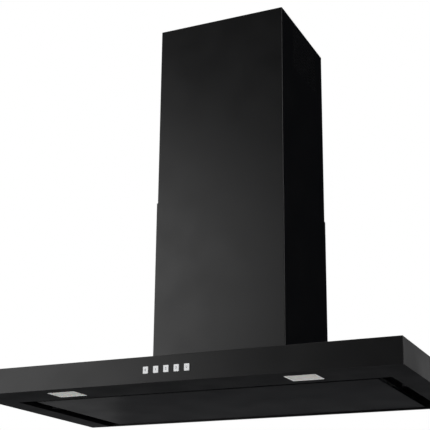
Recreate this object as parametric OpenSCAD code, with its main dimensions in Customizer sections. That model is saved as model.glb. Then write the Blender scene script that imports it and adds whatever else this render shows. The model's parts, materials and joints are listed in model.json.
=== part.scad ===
// Wall-mounted chimney range hood with a flat canopy, perimeter suction and a telescoping chimney.
// Millimetres. X runs left to right, Y runs from the room to the wall, Z is up.
// The origin is on the wall plane, on the centre line, at the canopy's bottom edge.

/* [Canopy] */
// Width of the canopy, side to side
canopy_w = 900; // [780:10:1200]
// Depth of the canopy, wall to front panel
canopy_d = 500; // [460:10:620]
// Height of the canopy's front panel
canopy_h = 50; // [48:1:80]
// Thickness of the canopy's steel sheet
sheet_t = 1.2; // [1:0.1:1.5]

/* [Intake well] */
// Width of the border left and right of the intake opening
well_side = 51; // [40:1:80]
// Depth of the border in front of the intake opening
well_front = 110; // [95:1:140]
// Depth of the border behind the intake opening
well_rear = 7; // [5:1:12]
// Height of the filter deck above the canopy's bottom edge
deck_z = 28.2; // [26:0.1:32]

/* [Suction panel] */
// Slot left and right of the suction panel
panel_gap_side = 31; // [24:1:45]
// Slot in front of the suction panel
panel_gap_front = 20; // [12:1:40]
// Gap behind the suction panel
panel_gap_rear = 6; // [6:0.5:10]
// Distance that the panel's face is set back above the canopy's bottom edge
panel_recess = 2; // [1:0.5:3]
// Height of the folded pan that forms the panel
panel_h = 7; // [6:0.5:9]
// Thickness of the panel's sheet
panel_t = 1; // [0.8:0.1:1.2]
// Distance of each hinge's middle from the panel's side edge
hinge_inset = 118; // [40:1:160]
// Distance of the magnet catches from the wall
catch_from_wall = 256; // [120:1:340]

/* [Grease filters] */
// Width of one filter cassette
filter_w = 310; // [240:5:340]
// Depth of one filter cassette, front to rear
filter_d = 262; // [200:2:290]
// Thickness of one filter cassette
filter_t = 8; // [7:0.5:9]
// Width of the cassette's side and rear rims
filter_rim = 12; // [8:1:16]
// Width of the cassette's front rim, which holds the latch
filter_front_rim = 30; // [28:1:40]
// Distance between the wall and the cassettes' rear edges
filter_from_wall = 90; // [70:1:100]

/* [Lamps] */
// Distance of each lamp from the centre line
lamp_x = 250; // [180:1:330]
// Distance of each lamp's centre from the front panel
lamp_y = 59; // [45:1:70]
// Width of one lamp, side to side
lamp_w = 61; // [50:1:90]
// Depth of one lamp, front to rear
lamp_d = 52; // [40:1:60]
// Height of the lamp's housing
lamp_h = 12; // [10:0.5:16]

/* [Buttons] */
// Width of one button
button_w = 10.2; // [8:0.1:16]
// Height of one button
button_h = 13; // [10:0.5:18]
// Distance between neighbouring buttons
button_pitch = 21.4; // [20:0.1:28]
// Distance of the buttons' middle below the middle of the front panel
button_drop = 1.2; // [0:0.1:2]
// Distance that a button stands out of the front panel
button_proud = 2.2; // [2:0.1:4]
// Travel of a button when it is pressed
button_travel = 2; // [1:0.1:2]

/* [Chimney] */
// Width of the lower chimney section
chimney_w = 300; // [290:5:400]
// Depth of the lower chimney section, wall to front
chimney_d = 270; // [264:2:330]
// Top of the lower section above the canopy's bottom edge
chimney_step_z = 445; // [410:5:600]
// Top of the upper section above the canopy's bottom edge
chimney_top_z = 865; // [820:5:1100]
// Stretch of the upper section that stays inside the lower one
chimney_overlap = 60; // [40:5:100]
// Thickness of the chimney's sheet
chimney_t = 1; // [0.8:0.1:1.2]
// Width of the folded returns along the wall
chimney_return = 13; // [8:1:14]

/* [Vents] */
// Columns of vent slots in each side of the upper section
vent_columns = 8; // [3:1:9]
// Rows of vent slots in each side of the upper section
vent_rows = 13; // [4:1:20]
// Distance between the columns
vent_pitch_y = 19; // [14:0.5:22]
// Distance between the rows
vent_pitch_z = 8; // [6:0.5:12]
// Length of one slot
vent_l = 13; // [6:0.5:13]
// Height of one slot
vent_h = 3.4; // [2:0.1:5]

/* [Blower] */
// Width of the blower's steel housing
housing_w = 256; // [240:2:262]
// Depth of the blower's steel housing
housing_d = 228; // [220:2:232]
// Top of the blower's housing above the canopy's bottom edge
housing_top_z = 300; // [290:5:340]
// Radius of the fan wheel
wheel_r = 70; // [60:1:72]
// Width of the fan wheel
wheel_w = 104; // [80:2:110]
// Distance of the fan's axis from the wall
fan_from_wall = 150; // [145:1:155]
// Height of the fan's axis above the canopy's top
fan_height = 115; // [110:1:125]
// Number of blades on the fan wheel
blade_count = 36; // [12:1:48]
// Radius of the motor's case
motor_r = 40; // [30:1:44]
// Radius of the motor's shaft
shaft_r = 4; // [3:0.5:6]

/* [Duct collar] */
// Outer radius of the duct collar
collar_r = 75; // [60:1:75]
// Height of the duct collar's spigot
collar_h = 50; // [40:1:70]
// Wall of the duct collar
collar_t = 1.8; // [1.5:0.1:3]
// Distance between the collar's spigot and the rear of the blower's housing
collar_setback = 20; // [15:1:40]

/* [Wall fixings] */
// Distance between the wall screws, left to right
wall_screw_x = 200; // [160:5:210]
// Distance between the wall screws, up and down
wall_screw_z = 200; // [120:5:210]
// Radius of the wall screws' holes
wall_hole_r = 4.5; // [3:0.1:6]
// Distance between the upper bracket's screws
bracket_screw_x = 120; // [60:5:200]
// Radius of the upper bracket's screw holes
bracket_hole_r = 3.5; // [2.5:0.1:5]

/* [Fits] */
// Gap between pieces that move past each other
slide_gap = 0.5; // [0.3:0.1:0.8]
// Gap between a button and the hole that it passes through
button_gap = 0.3; // [0.3:0.05:0.5]
// Radial clearance of a shaft or pin in its bore
running_gap = 0.05; // [0.02:0.01:0.1]
// Gap between fixed pieces that drop into each other
seat_gap = 0.3; // [0.1:0.1:0.5]

/* [Hidden] */
$fn = 64;
eps = 0.5;
half_w = canopy_w / 2;
inner_half_w = half_w - sheet_t;
front_y = -canopy_d;
inner_front_y = front_y + sheet_t;
top_z = canopy_h;
inner_top_z = top_z - sheet_t;

// Intake well and filter deck
well_x = half_w - well_side;
well_y0 = front_y + well_front;
well_y1 = -well_rear;
deck_top_z = deck_z + sheet_t;

// Suction panel and its hinge
panel_x = well_x - panel_gap_side;
panel_y0 = well_y0 + panel_gap_front;
panel_y1 = well_y1 - panel_gap_rear;
panel_top_z = panel_recess + panel_h;
liner_t = 1;
knuckle_r = 3;
hinge_pin_r = 1.5;
hinge_setback = 6;
hinge_y = panel_y1 - hinge_setback;
hinge_z = panel_recess + panel_t + knuckle_r;
hinge_x = panel_x - hinge_inset;
hinge_half = 20;
knuckle_half = 7;
leaf_t = 1.2;
leaf_l = 36;
knuckle_gap = 0.4;
notch_edge = 2;
notch_drop = 1.4;
liner_y1 = hinge_y - leaf_l - 1;
catch_y = -catch_from_wall;
catch_l = 16;
catch_tab_t = 1;
catch_gap = 0.5;
catch_tab_short = 6;
catch_tab_inset = 2;

// Filters
filter_x = 3;
deck_gap = 0.2;
filter_y1 = -filter_from_wall;
filter_y0 = filter_y1 - filter_d;
filter_z1 = deck_z - deck_gap;
filter_z0 = filter_z1 - filter_t;
mesh_inset = 1;
mesh_t = filter_t - 2 * mesh_inset;
latch_w = 70;
latch_d = 20;
latch_h = 6;
latch_travel = 5.5;
tongue_w = 16;
tongue_t = 3;
tongue_out = 5;
latch_spring_r = 1.9;
latch_spring_wire = 0.25;
latch_bore_depth = 8;
latch_bore_gap = 0.4;
latch_pocket = 6;
finger_x = 22;
finger_half = 9;
finger_edge = 3;
tongue_z = filter_z0 + latch_h / 2;
pocket_y0 = filter_y0 + latch_pocket;
pocket_y1 = pocket_y0 + latch_d;
latch_y0 = pocket_y0 + slide_gap;
latch_y1 = pocket_y1 - latch_travel - 2 * slide_gap;

// Lamps
lamp_wall = 1.5;
lens_t = 2;
led_board_t = 1.6;
led_side = 5;
led_h = 1;
led_board_gap = 0.5;
lens_gap = 0.2;
lens_z = 0.4;
lamp_flange = 4;
lamp_flange_inset = 6;
lamp_flange_z = sheet_t + 0.1;
lamp_lead_r = 3;

// Buttons
button_z = canopy_h / 2 - button_drop;
button_flange = 1.4;
button_flange_t = 1.5;
stem_r = 2.5;
carrier_d = 8;
carrier_wall = 2;
carrier_edge = 6;
button_spring_r = 3.6;
button_spring_wire = 0.25;
switch_side = 6;
switch_h = 3;
pcb_t = 1.6;
flange_y = inner_front_y + button_gap;
cavity_y = inner_front_y + carrier_d - carrier_wall;
carrier_y1 = inner_front_y + carrier_d;
stem_out = 1.6;
stem_end_y = carrier_y1 + stem_out;
press_gap = 0.2;
switch_y0 = stem_end_y + button_travel + press_gap;
pcb_y0 = switch_y0 + switch_h;
bank_half = 2 * button_pitch + button_w / 2 + carrier_edge;
carrier_z0 = button_z - button_h / 2 - carrier_edge;
carrier_z1 = button_z + button_h / 2 + carrier_edge;
cover_t = 1.5;
solder_space = 5;
board_edge = 1;
cover_y1 = pcb_y0 + pcb_t + solder_space;

// Chimney
chimney_x = chimney_w / 2;
upper_x = chimney_x - chimney_t - slide_gap;
upper_d = chimney_d - chimney_t - slide_gap;
upper_back = chimney_t + slide_gap;
upper_bottom_z = chimney_step_z - chimney_overlap;
upper_in_x = upper_x - chimney_t;
vent_top = 8;
vent_front = 73;

// Blower housing and scroll
housing_x = housing_w / 2;
wall_gap = 20;
housing_y1 = -wall_gap;
housing_y0 = housing_y1 - housing_d;
housing_t = 1.2;
housing_flange = 12;
inlet_margin = 3;
screw_r = 2;
screw_hole_r = 2.2;
screw_inset = 20;
screw_below = 4;
outlet_edge = 2;
scroll_y = -fan_from_wall;
scroll_z = top_z + fan_height;
wheel_gap = 8;
scroll_x = wheel_w / 2 + wheel_gap;
scroll_t = 2;
scroll_gap = 6;
scroll_growth = 32;
cutoff_deg = 75;
scroll_steps = 48;
inlet_lip = 10;
inlet_r = wheel_r - inlet_lip;
bush_t = 2;
motor_x0 = -scroll_x - bush_t;
motor_x1 = -8;
motor_band = 12;
motor_band_t = 2;
motor_end_t = 3;
shaft_start = 4;
shaft_end_x = 22;
shaft_hole_gap = 2;
bracket_t = 3;
arm_w = 14;
arm_reach = 12;
arm_r = inlet_r + arm_reach;
bush_r = 6;
bush_screw_r = 2;
power_box = [27, 170, 70];
power_box_wall = 2;
power_box_x0 = -housing_x + housing_t;
power_box_y0 = -150 - power_box[1] / 2;
power_box_z = 200;
board_gap = 6;
lead_hole_r = 3;
lead_steps = [20, 40, 60];
motor_lead_y = 85;
motor_lead_z = 30;
mains_lead_y = 30;
mains_hole_r = 5;

// Duct collar and flaps
collar_y = housing_y1 - collar_setback - collar_r;
collar_in_r = collar_r - collar_t;
collar_flange = 13;
collar_flange_t = 1.5;
rim_rise = 4;
rim_z = housing_top_z + rim_rise;
rim_t = 2;
flap_t = 1.5;
flap_gap = 0.2;
flap_edge_gap = 0.6;
flap_r = collar_in_r - flap_edge_gap;
flap_pin_r = 1.5;
flap_pin_gap = 0.1;
flap_knuckle_r = 3;
flap_pin_z = rim_z + rim_t + flap_gap + flap_knuckle_r;
flap_segment = 24;
flap_segment_gap = 0.3;

// Cable gland
gland_bore_r = 4;
gland_x = -100;
gland_y = -225;
gland_r = 8;
gland_nut_r = 11;
gland_gap = 0.1;

// Wall fixings
wall_frame_t = 2;
wall_frame_x = 120;
wall_frame_lift = 2;
wall_frame_z0 = top_z + wall_frame_lift;
wall_frame_z1 = housing_top_z;
wall_frame_rim = 42;
wall_screw_mid_z = (wall_frame_z0 + wall_frame_z1) / 2;
upper_bracket_drop = 50;
upper_bracket_z = chimney_top_z - upper_bracket_drop;
upper_bracket_h = 30;
upper_bracket_t = 1.5;
upper_bracket_arm = 60;

// Shared shapes

// A box between two corners
module block(low, high) {
    translate(low) cube(high - low);
}

// A cylinder along X, from x0 to x1
module rod_x(x0, x1, r) {
    translate([x0, 0, 0]) rotate([0, 90, 0]) cylinder(h = x1 - x0, r = r);
}

// A cylinder along Y, from y0 to y1
module rod_y(y0, y1, r) {
    translate([0, y0, 0]) rotate([-90, 0, 0]) cylinder(h = y1 - y0, r = r);
}

// A sheet-metal cover in plan: front and two sides, with returns along the wall
module cover_plan(half, back, front, t, fold) {
    difference() {
        translate([-half, front]) square([2 * half, back - front]);
        translate([-half + t, front + t]) square([2 * (half - t), back - front - 2 * t]);
        translate([-half + fold, back - t - eps]) square([2 * (half - fold), t + 2 * eps]);
    }
}

// Direction of a path at its point number i
function along(path, i) = path[min(i + 1, len(path) - 1)] - path[max(i - 1, 0)];

// Any unit vector square to direction d
function square_to(d) =
    let (u = abs(d[2]) < 0.9 * norm(d) ? cross(d, [0, 0, 1]) : cross(d, [1, 0, 0]))
    u / norm(u);

// Unit vectors square to a path at each of its points, carried along it so that nothing twists
function carried(path, u, i = 0) =
    i == len(path) ? [] :
    let (d = along(path, i), v = u - d * (u * d) / (d * d), w = v / norm(v))
    concat([w], carried(path, w, i + 1));

// A ring of n points round centre c, square to direction d, starting towards u
function ring(c, d, u, r, n) =
    let (v = cross(d, u) / norm(d))
    [for (i = [0 : n - 1]) c + r * (cos(360 * i / n) * u + sin(360 * i / n) * v)];

// A round bar along a list of points
module bar(points, r, sides) {
    last = len(points) - 1;
    sideways = carried(points, square_to(along(points, 0)));
    rings = [for (i = [0 : last]) ring(points[i], along(points, i), sideways[i], r, sides)];
    skin = [for (i = [0 : last - 1], k = [0 : sides - 1])
        [i * sides + k, (i + 1) * sides + k,
            (i + 1) * sides + (k + 1) % sides, i * sides + (k + 1) % sides]];
    polyhedron([for (each_ring = rings) each each_ring],
        concat([[for (k = [0 : sides - 1]) k]], skin,
            [[for (k = [sides - 1 : -1 : 0]) last * sides + k]]));
}

// Points on a smooth curve through a list of points
function blend_point(a, b, c, d, t) =
    0.5 * (2 * b + t * (c - a) + t * t * (2 * a - 5 * b + 4 * c - d)
        + t * t * t * (3 * b - a - 3 * c + d));
function smooth(p, steps) = concat(
    [for (i = [0 : len(p) - 2], s = [0 : steps - 1])
        blend_point(p[max(i - 1, 0)], p[i], p[i + 1], p[min(i + 2, len(p) - 1)], s / steps)],
    [p[len(p) - 1]]);

// A coil spring along Y, from y0 to y1
module spring_y(y0, y1, r, wire, turns) {
    steps = 12;
    bar([for (i = [0 : turns * steps])
        [r * cos(360 * i / steps), y0 + wire + (y1 - y0 - 2 * wire) * i / (turns * steps),
            r * sin(360 * i / steps)]], wire, 6);
}

// A pan-head screw along Z, with its head at the top
module pan_screw(r, shank) {
    cylinder(h = 0.8 * r, r = 2 * r);
    translate([0, 0, -shank]) cylinder(h = shank, r = r);
}

// Canopy

function button_x(i) = (i - 2) * button_pitch;

module canopy_shell() {
    color("#1d1d1f") difference() {
        block([-half_w, front_y, 0], [half_w, 0, top_z]);
        block([-inner_half_w, inner_front_y, -eps], [inner_half_w, eps, inner_top_z]);
        for (i = [0 : 4])
            block([button_x(i) - button_w / 2 - button_gap, front_y - eps,
                    button_z - button_h / 2 - button_gap],
                [button_x(i) + button_w / 2 + button_gap, inner_front_y + eps,
                    button_z + button_h / 2 + button_gap]);
        block([-housing_x + inlet_margin, housing_y0 + inlet_margin, inner_top_z - eps],
            [housing_x - inlet_margin, housing_y1 - inlet_margin, top_z + eps]);
        housing_screw_places() translate([0, 0, inner_top_z - eps])
            cylinder(h = sheet_t + 2 * eps, r = screw_hole_r);
    }
}

module underside_frame() {
    color("#1b1b1d") difference() {
        union() {
            block([-inner_half_w, inner_front_y, 0], [inner_half_w, -sheet_t, sheet_t]);
            block([-well_x - sheet_t, well_y0 - sheet_t, 0],
                [well_x + sheet_t, well_y1 + sheet_t, deck_z]);
        }
        block([-well_x, well_y0, -eps], [well_x, well_y1, deck_z + eps]);
        for (s = [-1, 1])
            block([s * lamp_x - lamp_w / 2, front_y + lamp_y - lamp_d / 2, -eps],
                [s * lamp_x + lamp_w / 2, front_y + lamp_y + lamp_d / 2, sheet_t + eps]);
    }
}

module back_plate() {
    color("#2a2a2c") block([-inner_half_w, -sheet_t, 0], [inner_half_w, 0, inner_top_z]);
}

module filter_deck() {
    hole_w = filter_w - 2 * filter_rim;
    hole_d = filter_d - filter_rim - filter_front_rim;
    color("#3a3a3d") difference() {
        block([-well_x - sheet_t, well_y0 - sheet_t, deck_z],
            [well_x + sheet_t, well_y1 + sheet_t, deck_top_z]);
        for (s = [-1, 1])
            translate([filter_mid(s) - hole_w / 2, filter_y1 - filter_rim - hole_d, deck_z - eps])
                cube([hole_w, hole_d, sheet_t + 2 * eps]);
    }
}

module filter_rear_rail() {
    rail_x = filter_x + filter_w;
    lip = 6;
    color("#8f9093") {
        block([-rail_x, filter_y1 + seat_gap, filter_z0 - seat_gap - sheet_t],
            [rail_x, filter_y1 + seat_gap + sheet_t, deck_z]);
        block([-rail_x, filter_y1 - lip, filter_z0 - seat_gap - sheet_t],
            [rail_x, filter_y1 + seat_gap, filter_z0 - seat_gap]);
    }
}

function filter_mid(s) = s * (filter_x + filter_w / 2);

module filter_keepers() {
    keeper_half = 14;
    keeper_t = 1.5;
    keeper_gap = 2.5;
    keeper_foot = 12;
    keeper_y = filter_y0 - keeper_gap - keeper_t;
    color("#8f9093") for (s = [-1, 1]) translate([filter_mid(s), 0, 0]) difference() {
        union() {
            block([-keeper_half, keeper_y, filter_z0], [keeper_half, keeper_y + keeper_t, deck_z]);
            block([-keeper_half, keeper_y - keeper_foot, deck_z - keeper_t],
                [keeper_half, keeper_y, deck_z]);
        }
        block([-tongue_w / 2 - slide_gap, keeper_y - eps, tongue_z - tongue_t / 2 - slide_gap],
            [tongue_w / 2 + slide_gap, keeper_y + keeper_t + eps,
                tongue_z + tongue_t / 2 + slide_gap]);
    }
}

// The rim of one filter cassette, with the latch's pocket in its front rail
module filter_frame(s) {
    color("#a9abae") translate([filter_mid(s), 0, 0]) difference() {
        block([-filter_w / 2, filter_y0, filter_z0], [filter_w / 2, filter_y1, filter_z1]);
        block([-filter_w / 2 + filter_rim, filter_y0 + filter_front_rim, filter_z0 - eps],
            [filter_w / 2 - filter_rim, filter_y1 - filter_rim, filter_z1 + eps]);
        block([-latch_w / 2, pocket_y0, filter_z0 - eps],
            [latch_w / 2, pocket_y1, filter_z0 + latch_h]);
        block([-tongue_w / 2 - slide_gap, filter_y0 - eps, tongue_z - tongue_t / 2 - slide_gap],
            [tongue_w / 2 + slide_gap, pocket_y0 + eps, tongue_z + tongue_t / 2 + slide_gap]);
    }
}

// The layered aluminium mesh in one filter cassette, pressed into shallow waves
module filter_mesh(s) {
    waves = 12;
    mesh_w = filter_w - 2 * filter_rim - 2 * seat_gap;
    mesh_y0 = filter_y0 + filter_front_rim + seat_gap;
    mesh_y1 = filter_y1 - filter_rim - seat_gap;
    pitch = mesh_w / waves;
    depth = 1.5;
    color("#c3c5c8") translate([filter_mid(s) - mesh_w / 2, mesh_y0, filter_z0 + mesh_inset])
        difference() {
            cube([mesh_w, mesh_y1 - mesh_y0, mesh_t]);
            for (i = [0 : waves - 1], z = [0, mesh_t])
                translate([(i + 0.5) * pitch, (mesh_y1 - mesh_y0) / 2, z]) rotate([0, 45, 0])
                    cube([depth, mesh_y1 - mesh_y0 + 2 * eps, depth], center = true);
        }
}

// The sliding latch in one filter's front rail, with a finger recess and a spring bore
module filter_latch(s) {
    body_half = latch_w / 2 - slide_gap;
    color("#3c3c40") translate([filter_mid(s), 0, 0]) difference() {
        union() {
            block([-body_half, latch_y0, filter_z0 + slide_gap],
                [body_half, latch_y1, filter_z0 + latch_h - slide_gap]);
            block([-tongue_w / 2, filter_y0 - tongue_out, tongue_z - tongue_t / 2],
                [tongue_w / 2, latch_y0, tongue_z + tongue_t / 2]);
        }
        for (k = [-1, 1])
            block([k * finger_x - finger_half, latch_y0 + finger_edge, filter_z0],
                [k * finger_x + finger_half, latch_y1 - finger_edge, tongue_z]);
        translate([0, 0, tongue_z])
            rod_y(latch_y1 - latch_bore_depth, latch_y1 + eps, latch_spring_r + latch_bore_gap);
    }
}

module latch_springs() {
    end_gap = 0.1;
    turns = 7;
    color("#b9bbbf") for (s = [-1, 1]) translate([filter_mid(s), 0, tongue_z])
        spring_y(latch_y1 - latch_bore_depth + end_gap, pocket_y1 - end_gap,
            latch_spring_r - latch_spring_wire, latch_spring_wire, turns);
}

// Lamps

module lamp_housing(s) {
    outer_w = lamp_w / 2 - seat_gap;
    outer_d = lamp_d / 2 - seat_gap;
    color("#c9cacc") translate([s * lamp_x, front_y + lamp_y, 0]) difference() {
        union() {
            block([-outer_w, -outer_d, 0], [outer_w, outer_d, lamp_h]);
            block([-outer_w - lamp_flange, -outer_d + lamp_flange_inset, lamp_flange_z],
                [outer_w + lamp_flange, outer_d - lamp_flange_inset, lamp_flange_z + sheet_t]);
        }
        block([-outer_w + lamp_wall, -outer_d + lamp_wall, -eps],
            [outer_w - lamp_wall, outer_d - lamp_wall, lens_z + lens_t]);
        block([-outer_w + 2 * lamp_wall, -outer_d + 2 * lamp_wall, 0],
            [outer_w - 2 * lamp_wall, outer_d - 2 * lamp_wall, lamp_h - lamp_wall]);
        translate([0, 0, lamp_h - 2 * lamp_wall]) cylinder(h = 3 * lamp_wall, r = lamp_lead_r);
    }
}

module lamp_lens(s) {
    outer_w = lamp_w / 2 - seat_gap - lamp_wall - lens_gap;
    outer_d = lamp_d / 2 - seat_gap - lamp_wall - lens_gap;
    color("#f2f3f5") translate([s * lamp_x, front_y + lamp_y, 0])
        block([-outer_w, -outer_d, lens_z], [outer_w, outer_d, lens_z + lens_t]);
}

module led_board(s) {
    outer_w = lamp_w / 2 - seat_gap - 2 * lamp_wall - led_board_gap;
    outer_d = lamp_d / 2 - seat_gap - 2 * lamp_wall - led_board_gap;
    board_z = lamp_h - lamp_wall - led_board_t;
    color("#e8e8e0") translate([s * lamp_x, front_y + lamp_y, 0]) {
        difference() {
            block([-outer_w, -outer_d, board_z], [outer_w, outer_d, board_z + led_board_t]);
            translate([0, 0, board_z - eps]) cylinder(h = led_board_t + 2 * eps, r = lamp_lead_r);
        }
        for (i = [-1, 1], k = [-1, 1])
            translate([(i * outer_w - led_side) / 2, (k * outer_d - led_side) / 2, board_z - led_h])
                cube([led_side, led_side, led_h]);
    }
}

// Control buttons

module button_carrier() {
    flange_x = button_w / 2 + button_flange;
    flange_z = button_h / 2 + button_flange;
    color("#242426") difference() {
        block([-bank_half, inner_front_y, carrier_z0], [bank_half, carrier_y1, carrier_z1]);
        for (i = [0 : 4]) translate([button_x(i), 0, button_z]) {
            block([-flange_x - button_gap, inner_front_y - eps, -flange_z - button_gap],
                [flange_x + button_gap, cavity_y, flange_z + button_gap]);
            rod_y(cavity_y - eps, carrier_y1 + eps, stem_r + button_gap);
        }
    }
}

// One push button: cap, retaining flange and stem
module button(i) {
    color("#d9dadc") translate([button_x(i), 0, button_z]) {
        block([-button_w / 2, front_y - button_proud, -button_h / 2],
            [button_w / 2, flange_y + button_flange_t, button_h / 2]);
        block([-button_w / 2 - button_flange, flange_y, -button_h / 2 - button_flange],
            [button_w / 2 + button_flange, flange_y + button_flange_t,
                button_h / 2 + button_flange]);
        rod_y(flange_y + button_flange_t - eps, stem_end_y, stem_r);
    }
}

module button_springs() {
    turns = 4;
    color("#b9bbbf") for (i = [0 : 4]) translate([button_x(i), 0, button_z])
        spring_y(flange_y + button_flange_t, cavity_y, button_spring_r, button_spring_wire, turns);
}

module switch_board() {
    color("#1f5b38") block([-bank_half, pcb_y0, carrier_z0 + board_edge],
        [bank_half, pcb_y0 + pcb_t, carrier_z1 - board_edge]);
    color("#202022") for (i = [0 : 4]) translate([button_x(i), pcb_y0 - switch_h, button_z])
        translate([-switch_side / 2, 0, -switch_side / 2])
            cube([switch_side, switch_h, switch_side]);
}

module switch_cover() {
    color("#19191b") difference() {
        block([-bank_half - cover_t, carrier_y1, carrier_z0 - cover_t],
            [bank_half + cover_t, cover_y1, carrier_z1 + cover_t]);
        block([-bank_half, carrier_y1 - eps, carrier_z0 + board_edge],
            [bank_half, cover_y1 - cover_t, carrier_z1 - board_edge]);
    }
}

// Suction panel

module suction_panel() {
    notch_z = hinge_z - notch_drop;
    notch_half = knuckle_half + notch_edge;
    color("#121314") difference() {
        block([-panel_x, panel_y0, panel_recess], [panel_x, panel_y1, panel_top_z]);
        block([-panel_x + panel_t, panel_y0 + panel_t, panel_recess + panel_t],
            [panel_x - panel_t, panel_y1 - panel_t, panel_top_z + eps]);
        for (s = [-1, 1])
            block([s * hinge_x - notch_half, panel_y1 - panel_t - eps, notch_z],
                [s * hinge_x + notch_half, panel_y1 + eps, panel_top_z + eps]);
    }
}

module panel_liner() {
    side = panel_t + seat_gap;
    color("#8d8f92") block([-panel_x + side, panel_y0 + side, panel_top_z - liner_t],
        [panel_x - side, liner_y1, panel_top_z]);
}

// Stiffening bars between the panel's face and its liner
module panel_ribs() {
    rib_w = 30;
    rib_end = 12;
    rib_start = 4;
    rows = 4;
    rib_y0 = panel_y0 + panel_t + seat_gap + rib_start;
    step = (liner_y1 - panel_t - seat_gap - rib_w - rib_y0) / (rows - 1);
    color("#5b5c5f") for (i = [0 : rows - 1]) translate([0, rib_y0 + i * step, 0])
        block([-panel_x + rib_end, 0, panel_recess + panel_t],
            [panel_x - rib_end, rib_w, panel_top_z - liner_t]);
}

// The moving halves of the two panel hinges: a leaf and two knuckles each
module panel_hinge_leaves() {
    inner = knuckle_half + knuckle_gap;
    end_half = (hinge_half - inner) / 2;
    neck = 2;
    color("#8f9093") for (s = [-1, 1]) translate([s * hinge_x, 0, 0]) {
        block([-hinge_half, hinge_y - leaf_l, panel_recess + panel_t],
            [hinge_half, hinge_y - knuckle_r - 1, panel_recess + panel_t + leaf_t]);
        for (k = [-1, 1]) translate([k * (inner + hinge_half) / 2, hinge_y, hinge_z])
            difference() {
                union() {
                    rod_x(-end_half, end_half, knuckle_r);
                    block([-end_half, -knuckle_r - neck, -knuckle_r],
                        [end_half, 0, -knuckle_r + leaf_t]);
                }
                rod_x(-hinge_half, hinge_half, hinge_pin_r + running_gap);
            }
    }
}

// The fixed halves of the two panel hinges, hung from the filter deck
module hinge_brackets() {
    tab_t = 3;
    foot_t = 1.5;
    foot_l = 18;
    color("#8f9093") for (s = [-1, 1]) translate([s * hinge_x, hinge_y, 0]) difference() {
        union() {
            translate([0, 0, hinge_z]) rod_x(-knuckle_half, knuckle_half, knuckle_r);
            block([-knuckle_half, -tab_t / 2, hinge_z], [knuckle_half, tab_t / 2, deck_z]);
            block([-knuckle_half, -foot_l, deck_z - foot_t], [knuckle_half, 0, deck_z]);
        }
        translate([0, 0, hinge_z]) rod_x(-hinge_half, hinge_half, hinge_pin_r + running_gap);
    }
}

module hinge_pins() {
    color("#c9cacc") for (s = [-1, 1]) translate([s * hinge_x, hinge_y, hinge_z])
        rod_x(-hinge_half - 1, hinge_half + 1, hinge_pin_r);
}

// Magnet catches on the sides of the intake well
module panel_catches() {
    arm = panel_gap_side / 2;
    catch_h = 6;
    z0 = panel_recess + panel_t + catch_tab_t + catch_gap;
    color("#c9cacc") for (s = [-1, 1]) mirror([s < 0 ? 1 : 0, 0, 0])
        block([well_x - arm, catch_y - catch_l / 2, z0], [well_x, catch_y + catch_l / 2, z0 + catch_h]);
}

// Steel tabs on the panel that the catches hold
module catch_plates() {
    reach = panel_gap_side - catch_tab_short;
    tab_half = catch_l / 2 - catch_tab_inset;
    color("#c9cacc") for (s = [-1, 1]) mirror([s < 0 ? 1 : 0, 0, 0])
        block([panel_x, catch_y - tab_half, panel_recess + panel_t],
            [panel_x + reach, catch_y + tab_half, panel_recess + panel_t + catch_tab_t]);
}

// Blower

module housing_screw_places() {
    x = housing_x + housing_flange / 2;
    for (sx = [-1, 1], y = [housing_y0 + screw_inset, housing_y1 - screw_inset])
        translate([sx * x, y, 0]) children();
}

module blower_housing() {
    color("#8d8f92") difference() {
        union() {
            block([-housing_x, housing_y0, top_z], [housing_x, housing_y1, housing_top_z]);
            block([-housing_x - housing_flange, housing_y0 - housing_flange, top_z],
                [housing_x + housing_flange, housing_y1, top_z + housing_t]);
        }
        block([-housing_x + housing_t, housing_y0 + housing_t, top_z - eps],
            [housing_x - housing_t, housing_y1 - housing_t, housing_top_z - housing_t]);
        translate([0, collar_y, housing_top_z - housing_t - eps])
            cylinder(h = housing_t + 2 * eps, r = collar_in_r - outlet_edge);
        translate([gland_x, gland_y, housing_top_z - housing_t - eps])
            cylinder(h = housing_t + 2 * eps, r = gland_r + gland_gap);
        housing_screw_places() translate([0, 0, top_z - eps])
            cylinder(h = housing_t + 2 * eps, r = screw_hole_r);
    }
}

module housing_screws() {
    color("#c9cacc") housing_screw_places()
        translate([0, 0, top_z + housing_t]) pan_screw(screw_r, housing_t + sheet_t + screw_below);
}

// Radius of the scroll at angle a, growing from the cutoff round to the outlet
function scroll_radius(a) =
    wheel_r + scroll_gap + scroll_growth * (a - cutoff_deg) / (360 - cutoff_deg);
function scroll_outline(extra, top) = concat(
    [[(wheel_r + scroll_gap) * cos(cutoff_deg) - extra, top]],
    [for (i = [0 : scroll_steps])
        let (a = cutoff_deg + (360 - cutoff_deg) * i / scroll_steps, r = scroll_radius(a) + extra)
        [r * cos(a) - (i == 0 ? extra : 0), r * sin(a)]],
    [[scroll_radius(360) + extra, top]]);

// The scroll's outline, extruded along X from x0 to x1
module scroll_prism(extra, top, x0, x1) {
    translate([x0, scroll_y, scroll_z]) rotate([90, 0, 90])
        linear_extrude(height = x1 - x0) polygon(scroll_outline(extra, top));
}

// The right half of the scroll; the left half is its mirror image
module scroll_half() {
    top = housing_top_z - housing_t - scroll_z;
    difference() {
        scroll_prism(scroll_t, top, 0, scroll_x);
        scroll_prism(0, top + eps, -eps, scroll_x - scroll_t);
        translate([0, scroll_y, scroll_z]) rod_x(0, scroll_x + eps, inlet_r);
    }
}

module scroll_left() {
    color("#3f4043") mirror([1, 0, 0]) scroll_half();
}

module scroll_right() {
    color("#3f4043") scroll_half();
}

module motor() {
    color("#6f7275") translate([0, scroll_y, scroll_z]) difference() {
        union() {
            rod_x(motor_x0, motor_x1, motor_r);
            rod_x(motor_x0 + motor_band, motor_x1 - motor_band, motor_r + motor_band_t);
        }
        rod_x(motor_x0 + motor_end_t, motor_x1 + eps, shaft_r + running_gap);
    }
}

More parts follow.
